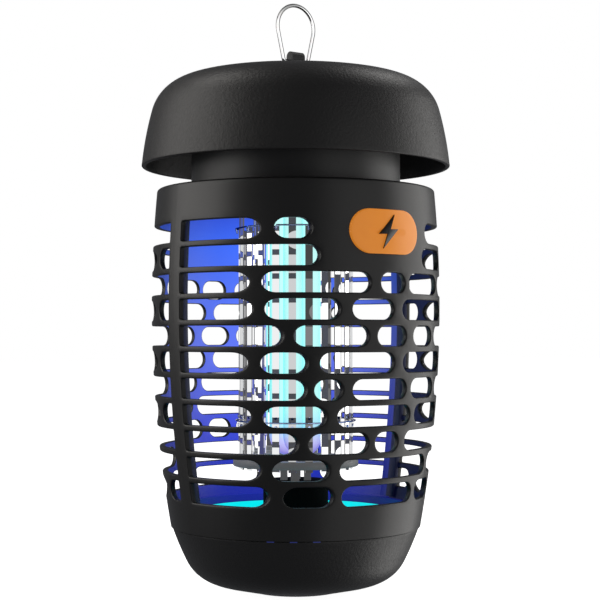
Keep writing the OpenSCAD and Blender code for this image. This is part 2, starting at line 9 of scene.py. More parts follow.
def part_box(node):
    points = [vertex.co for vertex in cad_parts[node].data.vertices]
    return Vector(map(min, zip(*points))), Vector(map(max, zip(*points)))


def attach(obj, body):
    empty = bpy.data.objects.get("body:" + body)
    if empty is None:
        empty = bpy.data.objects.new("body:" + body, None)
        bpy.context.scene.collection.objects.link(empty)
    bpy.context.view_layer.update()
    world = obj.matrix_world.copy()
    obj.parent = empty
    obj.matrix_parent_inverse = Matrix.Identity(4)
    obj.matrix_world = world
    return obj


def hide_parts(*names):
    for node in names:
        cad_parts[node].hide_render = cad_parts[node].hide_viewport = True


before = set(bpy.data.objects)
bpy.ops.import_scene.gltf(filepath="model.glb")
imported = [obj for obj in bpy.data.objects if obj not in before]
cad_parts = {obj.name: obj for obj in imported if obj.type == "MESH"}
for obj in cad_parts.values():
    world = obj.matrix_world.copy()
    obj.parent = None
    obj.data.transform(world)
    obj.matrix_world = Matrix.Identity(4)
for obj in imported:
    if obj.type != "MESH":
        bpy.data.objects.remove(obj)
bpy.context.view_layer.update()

# -------- Camera
# The camera stands level with the lower middle of the cage, a little to the left of the badge,
# and looks up by less than two degrees. All lengths in this script's sections are in
# millimetres and MM turns them into the frame's metres.
MM = 0.001
EYE_TURN = math.radians(-36.5)
EYE_OUT, EYE_Z = 766, 135
AIM_RIGHT, AIM_Z = 2.3, 154.3

eye = Vector((math.sin(EYE_TURN) * EYE_OUT, -math.cos(EYE_TURN) * EYE_OUT, EYE_Z)) * MM
aim = Vector((math.cos(EYE_TURN) * AIM_RIGHT, math.sin(EYE_TURN) * AIM_RIGHT, AIM_Z)) * MM
camera = bpy.data.objects.new("camera", bpy.data.cameras.new("camera"))
bpy.context.scene.collection.objects.link(camera)
camera.data.lens = 85.6
camera.data.sensor_width = 36
camera.data.clip_start = 0.01
camera.location = eye
camera.rotation_euler = (aim - eye).to_track_quat("-Z", "Y").to_euler()
bpy.context.scene.camera = camera
bpy.context.scene.view_settings.view_transform = "Standard"


# -------- Floor and light
# A plain pale floor under a white surround, with a wide soft light and a smaller high one on each
# side. The surround is white to look at and in a true mirror, but lights the object only a little.
def new_material(name):
    """A material with a Principled shader, and its node tree's parts."""
    material = bpy.data.materials.new(name)
    material.use_nodes = True
    tree = material.node_tree
    return material, tree, tree.nodes["Principled BSDF"]


def mesh_object(name, points, faces):
    """A new mesh object from points in millimetres."""
    mesh = bpy.data.meshes.new(name)
    mesh.from_pydata([Vector(p) * MM for p in points], [], faces)
    mesh.validate()
    piece = bpy.data.objects.new(name, mesh)
    bpy.context.scene.collection.objects.link(piece)
    return piece


FLOOR_HALF = 6000
floor = mesh_object(
    "floor",
    [(x * FLOOR_HALF, y * FLOOR_HALF, -0.2) for x, y in ((-1, -1), (1, -1), (1, 1), (-1, 1))],
    [(0, 1, 2, 3)],
)
floor_white, tree, shader = new_material("floor_white")
shader.inputs["Base Color"].default_value = (0.86, 0.86, 0.86, 1)
shader.inputs["Roughness"].default_value = 0.9
shader.inputs["Specular IOR Level"].default_value = 0.1
shader.inputs["Emission Color"].default_value = (1, 1, 1, 1)
shader.inputs["Emission Strength"].default_value = 0.95
floor.data.materials.append(floor_white)
floor.visible_diffuse = False
floor.visible_glossy = False
floor.visible_shadow = False

world = bpy.data.worlds.new("surround")
bpy.context.scene.world = world
world.use_nodes = True
tree = world.node_tree
backdrop = tree.nodes["Background"]
backdrop.inputs["Color"].default_value = (1, 1, 1, 1)
backdrop.inputs["Strength"].default_value = 1.0
room = tree.nodes.new("ShaderNodeBackground")
room.inputs["Color"].default_value = (0.9, 0.93, 1, 1)
room.inputs["Strength"].default_value = 0.145
seen = tree.nodes.new("ShaderNodeLightPath")
either = tree.nodes.new("ShaderNodeMixShader")
mirrored = tree.nodes.new("ShaderNodeMath")
mirrored.operation = "MAXIMUM"
tree.links.new(seen.outputs["Is Camera Ray"], mirrored.inputs[0])
tree.links.new(seen.outputs["Is Singular Ray"], mirrored.inputs[1])
tree.links.new(mirrored.outputs[0], either.inputs[0])
tree.links.new(room.outputs[0], either.inputs[1])
tree.links.new(backdrop.outputs[0], either.inputs[2])
tree.links.new(either.outputs[0], tree.nodes["World Output"].inputs["Surface"])


def soft_light(name, turn, out, height, aim_z, width, tall, watts, tint):
    """A rectangular soft light at an angle round from the front, aimed at the object."""
    lamp = bpy.data.lights.new(name, "AREA")
    lamp.shape = "RECTANGLE"
    lamp.size, lamp.size_y = width * MM, tall * MM
    lamp.energy = watts
    lamp.color = tint
    holder = bpy.data.objects.new(name, lamp)
    bpy.context.scene.collection.objects.link(holder)
    a = math.radians(turn)
    holder.location = Vector((math.sin(a) * out, -math.cos(a) * out, height)) * MM
    target = Vector((0, 0, aim_z)) * MM
    holder.rotation_euler = (target - holder.location).to_track_quat("-Z", "Y").to_euler()


soft_light("left_light", -120, 900, 520, 220, 1000, 760, 4.6, (1, 0.975, 0.94))
soft_light("low_left_light", -108, 900, 90, 180, 520, 420, 0.6, (1, 0.98, 0.96))
soft_light("right_light", 71, 900, 20, 120, 860, 1500, 7.3, (1, 0.985, 0.96))
soft_light("high_left_light", -135, 640, 1150, 250, 460, 460, 2.4, (1, 0.97, 0.93))
soft_light("high_right_light", 92, 700, 1100, 250, 420, 420, 2.0, (1, 0.98, 0.96))
soft_light("front_right_light", 8, 900, 60, 130, 700, 1300, 1.5, (1, 0.985, 0.96))


# -------- Hood
# The hood is one thin injection-moulded dome in black plastic with a fine leather grain outside.
# It is spun from a rim, a slightly leaning side, a round shoulder and a nearly flat crown.
HOOD_R, HOOD_WALL = 82.5, 2.3
SIDE_R, SHOULDER_R, CROWN_R = 177.6, 23.7, 296
RIM_LEAN, SIDE_LEAN, CROWN_LEAN = 5.3, 15.2, 78.5
HOOD_RIM_Z = 225


def arc(start, radius, lean0, lean1, steps):
    """Points of an arc from start, on which the outward direction turns from lean0 to lean1."""
    points = []
    for i in range(steps + 1):
        a = math.radians(lean0 + (lean1 - lean0) * i / steps)
        b = math.radians(lean0)
        points.append((
            start[0] + radius * (math.cos(a) - math.cos(b)),
            start[1] + radius * (math.sin(a) - math.sin(b)),
        ))
    return points


def hood_line(inset):
    """The hood's outline from its rim to its axis, set in from the outer face."""
    side = arc((HOOD_R - inset, HOOD_RIM_Z), SIDE_R - inset, RIM_LEAN, SIDE_LEAN, 14)
    shoulder = arc(side[-1], SHOULDER_R - inset, SIDE_LEAN, CROWN_LEAN, 22)
    crown = arc(shoulder[-1], CROWN_R - inset, CROWN_LEAN, 90, 14)
    return side + shoulder[1:] + crown[1:-1] + [(0.0, crown[-1][1])]


def shade(piece, sharp_over=38):
    """Smooth shading, with the edges sharper than the angle kept crisp."""
    piece.data.shade_smooth()
    piece.data.set_sharp_from_angle(angle=math.radians(sharp_over))
    return piece


def spin(name, outline, steps=224, closed=True):
    """A mesh turned about the Z axis from an outline of (radius, height) in millimetres."""
    points, faces, rows = [], [], []
    for r, z in outline:
        if r < 1e-6:
            rows.append([len(points)] * steps)
            points.append((0, 0, z))
            continue
        rows.append(list(range(len(points), len(points) + steps)))
        for i in range(steps):
            a = 2 * math.pi * i / steps
            points.append((r * math.cos(a), r * math.sin(a), z))
    pairs = list(zip(rows, rows[1:] + rows[:1])) if closed else list(zip(rows, rows[1:]))
    for low, high in pairs:
        for i in range(steps):
            j = (i + 1) % steps
            face = []
            for k in (low[i], low[j], high[j], high[i]):
                if k not in face:
                    face.append(k)
            if len(face) > 2:
                faces.append(face)
    piece = mesh_object(name, points, faces)
    outward(piece)
    return shade(piece)


def outward(piece):
    """Turns every face of a closed piece outward."""
    mesh = bmesh.new()
    mesh.from_mesh(piece.data)
    bmesh.ops.recalc_face_normals(mesh, faces=mesh.faces)
    mesh.to_mesh(piece.data)
    mesh.free()


def bump_from(tree, shader, height, distance):
    """Joins a height to the shader's normal, with a depth in millimetres."""
    bump = tree.nodes.new("ShaderNodeBump")
    bump.inputs["Strength"].default_value = 1.0
    bump.inputs["Distance"].default_value = distance * MM
    tree.links.new(height, bump.inputs["Height"])
    tree.links.new(bump.outputs["Normal"], shader.inputs["Normal"])


def object_texture(tree, kind, size, **inputs):
    """A texture in object space whose features are about size millimetres across."""
    where = tree.nodes.new("ShaderNodeTexCoord")
    texture = tree.nodes.new(kind)
    texture.inputs["Scale"].default_value = 1 / (size * MM)
    for key, value in inputs.items():
        texture.inputs[key.replace("_", " ")].default_value = value
    tree.links.new(where.outputs["Object"], texture.inputs["Vector"])
    return texture


def ramp(tree, value, stops):
    """A colour ramp over value with (position, colour) stops."""
    node = tree.nodes.new("ShaderNodeValToRGB")
    while len(node.color_ramp.elements) < len(stops):
        node.color_ramp.elements.new(0.5)
    for element, (position, colour) in zip(node.color_ramp.elements, stops):
        element.position = position
        element.color = (*colour, 1)
    tree.links.new(value, node.inputs[0])
    return node


def grained_plastic(name, colour, roughness, grain, depth, specular=0.5):
    """Black moulded plastic with a leather grain: pebbles of about grain millimetres, depth deep."""
    material, tree, shader = new_material(name)
    pebbles = object_texture(tree, "ShaderNodeTexVoronoi", grain)
    pebbles.feature = "SMOOTH_F1"
    wrinkles = object_texture(tree, "ShaderNodeTexNoise", grain * 1.3, Detail=2.0, Roughness=0.6)
    height = tree.nodes.new("ShaderNodeMath")
    height.operation = "MULTIPLY_ADD"
    height.inputs[1].default_value = 0.55
    tree.links.new(pebbles.outputs["Distance"], height.inputs[0])
    tree.links.new(wrinkles.outputs["Fac"], height.inputs[2])
    bump_from(tree, shader, height.outputs[0], depth)
    clouds = object_texture(tree, "ShaderNodeTexNoise", 45, Detail=3.0)
    deep, pale = (tuple(c * k for c in colour) for k in (0.86, 1.14))
    tone = ramp(tree, clouds.outputs["Fac"], [(0.3, deep), (0.7, pale)])
    tree.links.new(tone.outputs[0], shader.inputs["Base Color"])
    smooth, rough = (roughness - 0.04,) * 3, (roughness + 0.05,) * 3
    polish = ramp(tree, wrinkles.outputs["Fac"], [(0.3, smooth), (0.7, rough)])
    tree.links.new(polish.outputs[0], shader.inputs["Roughness"])
    shader.inputs["Specular IOR Level"].default_value = specular
    return material


def finish_piece(piece, body, slot, *materials, replaces=()):
    """Gives a piece its materials, hides the nodes it stands for and rides it on its body. Its slot is not
    used.
    """
    for material in materials:
        piece.data.materials.append(material)
    if replaces:
        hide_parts(*replaces)
    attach(piece, body)
    return piece


hood_plastic = grained_plastic("hood_plastic", (0.0110, 0.0100, 0.0093), 0.45, 1.1, 0.125)
RIM_ROUND, INNER_ROUND = 0.8, 0.5
outer, inner = hood_line(0), hood_line(HOOD_WALL)
rim = [
    (HOOD_R - RIM_ROUND + RIM_ROUND * math.cos(a), HOOD_RIM_Z + RIM_ROUND + RIM_ROUND * math.sin(a))
    for a in (math.radians(d) for d in range(-90, 1, 18))
]
rim_inside = [
    (HOOD_R - HOOD_WALL + INNER_ROUND * (1 - math.sin(a)), HOOD_RIM_Z + INNER_ROUND * (1 - math.cos(a)))
    for a in (math.radians(d) for d in range(0, 91, 18))
]
dome = [p for p in outer if p[1] > HOOD_RIM_Z + RIM_ROUND]
dome += [p for p in reversed(inner) if p[1] > HOOD_RIM_Z + 0.6]
hood = spin("hood_shell", rim + dome + list(reversed(rim_inside)))
finish_piece(hood, "housing", "hood_black", hood_plastic, replaces=("hood",))


# -------- Neck
# The neck is a smooth round cup under the hood. Its bead at the foot sits on the cage's top plate,
# and the electrics stand on its floor.
satin_black = grained_plastic("satin_black", (0.0105, 0.0100, 0.0098), 0.36, 0.5, 0.006)
neck_low, neck_high = (corner.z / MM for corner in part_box("neck_housing"))
NECK_R, NECK_WALL, NECK_HOLE_R = 56, 2.5, 19.2
neck = spin("neck_cup", [
    (NECK_HOLE_R, neck_low), (NECK_R - 0.8, neck_low), (NECK_R - 0.2, neck_low + 0.25),
    (NECK_R, neck_low + 0.9), (NECK_R, neck_high - 0.5), (NECK_R - 0.5, neck_high),
    (NECK_R - NECK_WALL + 0.5, neck_high),
    (NECK_R - NECK_WALL, neck_high - 0.5), (NECK_R - NECK_WALL, neck_low + NECK_WALL + 1),
    (NECK_R - NECK_WALL - 1, neck_low + NECK_WALL), (NECK_HOLE_R, neck_low + NECK_WALL),
])
neck_plastic = grained_plastic("neck_plastic", (0.0150, 0.0145, 0.0140), 0.46, 0.5, 0.006, 0.75)
finish_piece(neck, "housing", "cage_black", neck_plastic, replaces=("neck_housing",))


# -------- Cage
# The barrel cage is two identical half mouldings in satin black plastic, the rear one turned half
# a turn. The mould opens along Y, so the slots' ends are cut straight along Y, and every slot has
# a small round on its edges. Ribs thicken the joint at the two sides.
BARREL_R, BARREL_Z, BARREL_SLACK = 76.9, 152, 1320
CAGE_WALL, RIB_HALF, RIB_DEPTH, FLANGE_R, FLANGE_T = 3.0, 5.3, 5.5, 46, 2.5
cage_low, cage_high = (corner.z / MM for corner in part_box("cage_front"))
SLOT_HALF, SLOT_PITCH, TOP_ROW_Z = 5.1, 13.15, 187.6
TOP_ROUND = 1.6
END = 99
slot_rows = [
    [(-END, -58), (-53, -38), (31, END)],
    [(-END, -35), (27, 54), (59, 73)],
    [(-END, -62), (-58, -10), (-4, 12), (15, 44), (47, END)],
    [(-END, -61), (-57, -26), (-20, 4), (10, 54), (59, 73)],
    [(-END, -50), (-46, -11), (-6, 13), (19, 37), (41, END)],
    [(-END, -62), (-58, -40), (-35, 5), (11, 54), (59, 73)],
    [(-END, -40), (-37, -24), (-19, 14), (18, 41), (45, END)],
    [(-END, -60), (-56, -31), (-26, 18), (22, 52), (57, 71)],
    [(-END, -42), (-38, -9), (-5, 10), (15, END)],
    [(-END, -55), (-51, -28), (-23, 37), (41, END)],
    [(-END, -51), (-46, -25), (-21, 24), (28, 48), (53, 66)],
]
WINDOW_ROWS = (1, 3, 5, 7, 10)
WINDOW_REACH = 17
# Each step of a slot's edge from the outer face to the inner: how far the outline stands out from
# the slot, and how deep below the outer face it lies.
OUT_ROUND, IN_ROUND = 0.75, 0.4
edge_steps = [
    (OUT_ROUND * (1 - math.sin(math.radians(a))), OUT_ROUND * (1 - math.cos(math.radians(a))))
    for a in range(0, 91, 22)
] + [
    (IN_ROUND * (1 - math.cos(math.radians(a))), CAGE_WALL - IN_ROUND * (1 - math.sin(math.radians(a))))
    for a in range(0, 91, 30)
]


def barrel(z):
    """Outer radius of the barrel at a height."""
    return BARREL_R - (z - BARREL_Z) ** 2 / BARREL_SLACK


def on_barrel(turn, z, depth):
    """The point at a turn from the front, in radians, at a depth below the outer face."""
    r = barrel(z) - depth
    return (r * math.sin(turn), -r * math.cos(turn), z)


def turn_at_x(x, z, depth):
    """The turn at which a cut straight along Y meets the wall; near the sides the cut is square to it."""
    r = barrel(z)
    square = math.asin(x / r)
    straight = math.asin(max(-1, min(1, x / (r - depth))))
    share = max(0, min(1, (abs(x) - 48) / 12))
    return straight * (1 - share) + square * share


def turn_at_y(y, side, z, depth):
    """The turn at which a cut straight along X meets the wall at that Y."""
    return side * math.acos(y / (barrel(z) - depth))


def slot_end(x, side, row_z, grow, depth, steps=12):
    """One end of a slot, as turns and heights. x at END is the square end at the joint rib."""
    points = []
    half = SLOT_HALF + grow
    if abs(x) >= END:
        corner = 0.9 + grow
        for sign in (1, -1) if side < 0 else (-1, 1):
            stretch = range(0, 91, 30) if sign == (1 if side < 0 else -1) else range(90, -1, -30)
            for d in stretch:
                a = math.radians(d)
                y = RIB_HALF - grow + corner * (1 - math.sin(a))
                z = row_z + sign * (half - corner * (1 - math.cos(a)))
                points.append((turn_at_y(y, side, z, depth), z))
        return points
    centre = x - side * SLOT_HALF
    for i in range(steps + 1):
        a = math.pi * (i / steps - 0.5)
        z = row_z + side * half * math.sin(a)
        points.append((turn_at_x(centre + side * half * math.cos(a), z, depth), z))
    return points


def window_end(row_z, grow, depth, steps=12):
    """The rounded far end of a side window, cut along X."""
    half = SLOT_HALF + grow
    points = []
    for i in range(steps + 1):
        a = math.pi * (0.5 + i / steps)
        z = row_z + half * math.sin(a)
        y = WINDOW_REACH - SLOT_HALF - half * math.cos(a)
        points.append((turn_at_y(y, 1, z, depth), z))
    return points


def between_points(first, last, count):
    """The points that cut the way from first to last into count equal steps, without its ends."""
    return [tuple(a + (b - a) * i / count for a, b in zip(first, last)) for i in range(1, count)]


def slot_outline(slot, row_z, grow, depth):
    """A slot's closed outline as turns and heights, anticlockwise seen from outside."""
    if slot == "window":
        left = window_end(row_z, grow, depth)
        right = slot_end(END, 1, row_z, grow, depth)
    else:
        left = slot_end(slot[0], -1, row_z, grow, depth)
        right = slot_end(slot[1], 1, row_z, grow, depth)
    run = abs(slot_span(slot, row_z)) * BARREL_R
    between = max(1, round(run / 3))
    low = between_points(left[-1], right[0], between)
    high = between_points(right[-1], left[0], between)
    return left + low + right + high


def slot_span(slot, row_z):
    """The turn from one end of a slot to the other."""
    if slot == "window":
        return turn_at_y(RIB_HALF, 1, row_z, 0) - turn_at_y(WINDOW_REACH, 1, row_z, 0)
    ends = [turn_at_y(RIB_HALF, 1 if x > 0 else -1, row_z, 0) if abs(x) >= END else turn_at_x(x, row_z, 0)
            for x in slot]
    return ends[1] - ends[0]


def all_slots():
    """Every slot of one half with its row's height."""
    for row, slots in enumerate(slot_rows):
        row_z = TOP_ROW_Z - row * SLOT_PITCH
        for slot in slots:
            yield slot, row_z
        if row in WINDOW_ROWS:
            yield "window", row_z


def holds(outline, x, z):
    """True if the point lies inside the closed outline."""
    hit = False
    for (x1, z1), (x2, z2) in zip(outline, outline[1:] + outline[:1]):
        if (z1 > z) != (z2 > z) and x < (x2 - x1) * (z - z1) / (z2 - z1) + x1:
            hit = not hit
    return hit


class Shell:
    """Points and faces of one half, gathered piece by piece and welded at the end."""

    def __init__(self):
        self.points, self.faces, self.kinds = [], [], []

    def add(self, points, faces, kind):
        start = len(self.points)
        self.points += points
        self.faces += [[start + i for i in face] for face in faces]
        self.kinds += [kind] * len(faces)


EDGE_TURN = math.radians(90) - 0.02 / BARREL_R
TURN_STEPS, HEIGHT_STEPS = 84, 60
KEEP_OFF = 0.9
turn_steps = [EDGE_TURN * (2 * i / TURN_STEPS - 1) for i in range(TURN_STEPS + 1)]


def skin(shell, depth, grow, top_z, kind):
    """One face of the wall: a triangle mesh over turn and height with a hole for every slot."""
    stretch = BARREL_R
    heights = [cage_low + (top_z - cage_low) * i / HEIGHT_STEPS for i in range(HEIGHT_STEPS + 1)]

    def flat_outlines(grown):
        every = [slot_outline(slot, row_z, grown, depth) for slot, row_z in all_slots()]
        return [[(t * stretch, z) for t, z in outline] for outline in every]

    outlines, keep_off = flat_outlines(grow), flat_outlines(grow + KEEP_OFF)
    boxes = [(min(p[0] for p in o), max(p[0] for p in o), min(p[1] for p in o), max(p[1] for p in o))
             for o in keep_off]
    points, edges = [], []

    def loop(members):
        start = len(points)
        points.extend(members)
        edges.extend((start + i, start + (i + 1) % len(members)) for i in range(len(members)))

    edge = [(t * stretch, cage_low) for t in turn_steps[:-1]]
    edge += [(turn_steps[-1] * stretch, z) for z in heights[:-1]]
    edge += [(t * stretch, top_z) for t in reversed(turn_steps[1:])]
    edge += [(turn_steps[0] * stretch, z) for z in reversed(heights[1:])]
    loop(edge)
    for outline in outlines:
        loop(outline)
    for t in turn_steps[1:-1]:
        for z in heights[1:-1]:
            x = t * stretch
            if any(b[0] < x < b[1] and b[2] < z < b[3] and holds(o, x, z) for b, o in zip(boxes, keep_off)):
                continue
            points.append((x, z))
    flat, _, triangles, *_ = delaunay_2d_cdt([Vector(p) for p in points], edges, [], 0, 1e-4)
    faces = []
    for face in triangles:
        x = sum(flat[i].x for i in face) / 3
        z = sum(flat[i].y for i in face) / 3
        if any(b[0] < x < b[1] and b[2] < z < b[3] and holds(o, x, z) for b, o in zip(boxes, outlines)):
            continue
        faces.append(list(face) if depth == 0 else list(reversed(face)))
    shell.add([on_barrel(p.x / stretch, p.y, depth) for p in flat], faces, kind)
    return heights


def cage_half(name):
    """One half moulding, as the front one."""
    shell = Shell()
    wall_top = cage_high - TOP_ROUND
    plate_low = cage_high - FLANGE_T
    outer_heights = skin(shell, 0, OUT_ROUND, wall_top, 0)
    inner_heights = skin(shell, CAGE_WALL, IN_ROUND, plate_low, 1)
    for slot, row_z in all_slots():
        rings = [slot_outline(slot, row_z, grow, depth) for grow, depth in edge_steps]
        count = len(rings[0])
        points = [on_barrel(t, z, step[1]) for ring, step in zip(rings, edge_steps) for t, z in ring]
        faces = []
        for k in range(0, (len(rings) - 1) * count, count):
            for i in range(count):
                j = (i + 1) % count
                faces.append((k + i, k + count + i, k + count + j, k + j))
        shell.add(points, faces, 0)
    corner = arc((barrel(wall_top), wall_top), TOP_ROUND, 5.3, 90, 6)
    top = corner + [(FLANGE_R, cage_high), (FLANGE_R, plate_low)]
    top.append((barrel(plate_low) - CAGE_WALL, plate_low))
    rows = len(top)
    points = [(r * math.sin(t), -r * math.cos(t), z) for t in turn_steps for r, z in top]
    faces = [
        (i * rows + k, (i + 1) * rows + k, (i + 1) * rows + k + 1, i * rows + k + 1)
        for i in range(TURN_STEPS) for k in range(rows - 1)
    ]
    shell.add(points, faces, 0)
    foot = [on_barrel(t, cage_low, d) for t in turn_steps for d in (0, CAGE_WALL)]
    shell.add(foot, [(2 * i, 2 * i + 1, 2 * i + 3, 2 * i + 2) for i in range(TURN_STEPS)], 0)
    for t, flip in ((turn_steps[0], False), (turn_steps[-1], True)):
        side = [on_barrel(t, z, 0) for z in outer_heights]
        side += [(r * math.sin(t), -r * math.cos(t), z) for r, z in top[1:]]
        side += [on_barrel(t, z, CAGE_WALL) for z in reversed(inner_heights[:-1])]
        face = list(range(len(side)))
        shell.add(side, [face[::-1] if flip else face], 0)
    for side in (-1, 1):
        rib(shell, side, cage_low + 11, plate_low + 0.4)
    piece = mesh_object(name, shell.points, shell.faces)
    for polygon, kind in zip(piece.data.polygons, shell.kinds):
        polygon.material_index = kind
    weld = bmesh.new()
    weld.from_mesh(piece.data)
    bmesh.ops.remove_doubles(weld, verts=weld.verts, dist=0.004 * MM)
    bmesh.ops.recalc_face_normals(weld, faces=weld.faces)
    weld.to_mesh(piece.data)
    weld.free()
    return piece


def rib(shell, side, z0, z1, steps=36):
    """The thicker stretch inside the wall at the joint, a closed strip."""
    points = []
    for i in range(steps + 1):
        z = z0 + (z1 - z0) * i / steps
        for depth, y in ((CAGE_WALL - 0.5, 0.02), (CAGE_WALL - 0.5, RIB_HALF), (RIB_DEPTH - 0.6, RIB_HALF),
                         (RIB_DEPTH, RIB_HALF - 0.6), (RIB_DEPTH, 0.02)):
            r = barrel(z) - depth
            points.append((side * math.sqrt(r * r - y * y), -y, z))
    faces = [
        (i * 5 + k, i * 5 + (k + 1) % 5, (i + 1) * 5 + (k + 1) % 5, (i + 1) * 5 + k)
        for i in range(steps) for k in range(5)
    ]
    faces += [tuple(range(5)), tuple(steps * 5 + k for k in reversed(range(5)))]
    shell.add(points, faces, 1)


def level_between(tree, low, high):
    """Object coordinates, and how far up between two heights in metres a point lies, as 0 to 1."""
    where = tree.nodes.new("ShaderNodeTexCoord")
    split = tree.nodes.new("ShaderNodeSeparateXYZ")
    level = tree.nodes.new("ShaderNodeMapRange")
    level.inputs["From Min"].default_value = low
    level.inputs["From Max"].default_value = high
    tree.links.new(where.outputs["Object"], split.inputs[0])
    tree.links.new(split.outputs["Z"], level.inputs["Value"])
    return where, level


def painted_lamp_glow(name, strength):
    """The inner face with the lamp's blue light painted on as emission: brighter at the top and towards the
    back, deep blue at the foot.
    """
    material, tree, shader = new_material(name)
    shader.inputs["Base Color"].default_value = (0.02, 0.025, 0.06, 1)
    shader.inputs["Roughness"].default_value = 0.45
    where, level = level_between(tree, cage_low * MM, cage_high * MM)
    painted_lamp_wash = ramp(tree, level.outputs[0], [
        (0.0, (0.009, 0.017, 0.26)), (0.13, (0.013, 0.028, 0.52)), (0.28, (0.05, 0.075, 0.76)),
        (0.50, (0.12, 0.18, 0.92)), (0.72, (0.08, 0.17, 0.96)), (0.86, (0.045, 0.15, 1.0)),
        (0.97, (0.03, 0.08, 0.7)),
    ])
    behind = tree.nodes.new("ShaderNodeVectorMath")
    behind.operation = "DOT_PRODUCT"
    behind.inputs[1].default_value = (0.42, 0.91, 0)
    share = tree.nodes.new("ShaderNodeMapRange")
    share.inputs["From Min"].default_value = 0.030
    share.inputs["From Max"].default_value = 0.072
    share.inputs["To Min"].default_value = 0.30 * strength
    share.inputs["To Max"].default_value = 1.0 * strength
    tree.links.new(where.outputs["Object"], behind.inputs[0])
    tree.links.new(behind.outputs["Value"], share.inputs["Value"])
    lit = tree.nodes.new("ShaderNodeVectorMath")
    lit.operation = "SCALE"
    tree.links.new(painted_lamp_wash.outputs[0], lit.inputs[0])
    tree.links.new(share.outputs[0], lit.inputs["Scale"])
    tree.links.new(lit.outputs[0], shader.inputs["Emission Color"])
    shader.inputs["Emission Strength"].default_value = 1
    mottle = object_texture(tree, "ShaderNodeTexNoise", 1.2, Detail=3.0)
    bump_from(tree, shader, mottle.outputs["Fac"], 0.01)
    return material


cage_plastic = grained_plastic("cage_plastic", (0.0105, 0.0100, 0.0095), 0.38, 0.5, 0.008)
# Painted light: the lamp's blue glow on the cage's inner faces, full on the rear half and faint on the
# front half.
painted_glow_rear = painted_lamp_glow("painted_glow_rear_half", 1.0)
painted_glow_front = painted_lamp_glow("painted_glow_front_half", 0.05)
cage_front = shade(cage_half("cage_front_half"), 50)
cage_rear = cage_half("cage_rear_half")
cage_rear.data.transform(Matrix.Rotation(math.pi, 4, "Z"))
shade(cage_rear, 50)
finish_piece(cage_front, "housing", "cage_black", cage_plastic, painted_glow_front, replaces=("cage_front",))
finish_piece(cage_rear, "housing", "cage_black", cage_plastic, painted_glow_rear, replaces=("cage_rear",))


# -------- Tray
# The collection tray is a grained bowl that twists on below the cage. A collar with three lugs
# goes up inside the cage's foot, and three small marks on its rim show the locked position. Its
# inside has the lamp's cyan light painted on, and the marks the lamp's blue light leaking through.
tray_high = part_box("collection_tray")[1].z / MM
TRAY_R, TRAY_WALL, BASE_R, SEAM_GAP = 65.7, 2.2, 24, 0.3
BOWL_SIDE_R, BOWL_CORNER_R = 140.6, 22
TRAY_RIM_LEAN, BOWL_SIDE_LEAN, BOWL_FOOT_LEAN = -19, -27, -75
COLLAR_R = 59.5
rim_z = cage_low - SEAM_GAP
tray_plastic = grained_plastic("tray_plastic", (0.0105, 0.0100, 0.0098), 0.44, 1.1, 0.115)


def tray_line(inset):
    """The tray's outline from its rim down to its base, set in from the outer face."""
    side = arc((TRAY_R - inset, rim_z), BOWL_SIDE_R - inset, TRAY_RIM_LEAN, BOWL_SIDE_LEAN, 12)
    corner = arc(side[-1], BOWL_CORNER_R - inset, BOWL_SIDE_LEAN, BOWL_FOOT_LEAN, 20)
    return side + corner[1:]


outside = tray_line(0)
inside = [p for p in tray_line(TRAY_WALL) if p[1] < cage_low - 3.5]
base_bend = [(BASE_R + 1.6, 0.38), (BASE_R + 0.6, 0.1), (BASE_R - 0.8, 0)]
tray = spin("tray_bowl", [
    (COLLAR_R - 2, tray_high - 0.4), (COLLAR_R - 1.6, tray_high), (COLLAR_R - 0.4, tray_high),
    (COLLAR_R, tray_high - 0.4), (COLLAR_R, rim_z), (TRAY_R - 0.35, rim_z), (TRAY_R - 0.08, rim_z - 0.12),
    (TRAY_R - 0.06, rim_z - 0.4),
] + outside[1:] + base_bend + [(0, 0), (0, TRAY_WALL), (BASE_R, TRAY_WALL)] + inside[::-1]
    + [(COLLAR_R - 2, cage_low - 3)])
# Painted light: the lamp's cyan glow on the tray's inside, as emission with a random mottle.
painted_glow_tray, tree, shader = new_material("painted_glow_tray_inside")
shader.inputs["Base Color"].default_value = (0.02, 0.03, 0.05, 1)
shader.inputs["Roughness"].default_value = 0.5
painted_glow_mottle = object_texture(tree, "ShaderNodeTexNoise", 9, Detail=3.0)
glow = ramp(tree, painted_glow_mottle.outputs["Fac"], [(0.35, (0.0, 0.76, 0.82)), (0.65, (0.0, 0.84, 0.90))])
tree.links.new(glow.outputs[0], shader.inputs["Emission Color"])
shader.inputs["Emission Strength"].default_value = 1.0
bump_from(tree, shader, painted_glow_mottle.outputs["Fac"], 0.01)
for polygon in tray.data.polygons:
    middle = polygon.center / MM
    r = math.hypot(middle.x, middle.y)
    inward = polygon.normal.x * middle.x + polygon.normal.y * middle.y < 0
    if r < COLLAR_R - 0.5 and middle.z > cage_low - 4 and inward:
        polygon.material_index = 1
finish_piece(tray, "tray", "tray_black", tray_plastic, painted_glow_tray, replaces=("collection_tray",))
LUG_FIRST, LUG_SPREAD, LUG_OUT_R, LUG_LOW, LUG_H = 200, 5, 61.6, 36.6, 2.2


def ring_part(name, first, last, r0, r1, z0, z1, steps=8):
    """A stretch of a flat ring between two angles, in degrees from +X."""
    points, faces = [], []
    for i in range(steps + 1):
        a = math.radians(first + (last - first) * i / steps)
        for r, z in ((r0, z0), (r1, z0), (r1, z1), (r0, z1)):
            points.append((r * math.cos(a), r * math.sin(a), z))
    for i in range(0, 4 * steps, 4):
        faces += [(i + k, i + (k + 1) % 4, i + 4 + (k + 1) % 4, i + 4 + k) for k in range(4)]
    faces += [(0, 1, 2, 3), tuple(4 * steps + k for k in (3, 2, 1, 0))]
    piece = mesh_object(name, points, faces)
    outward(piece)
    return piece


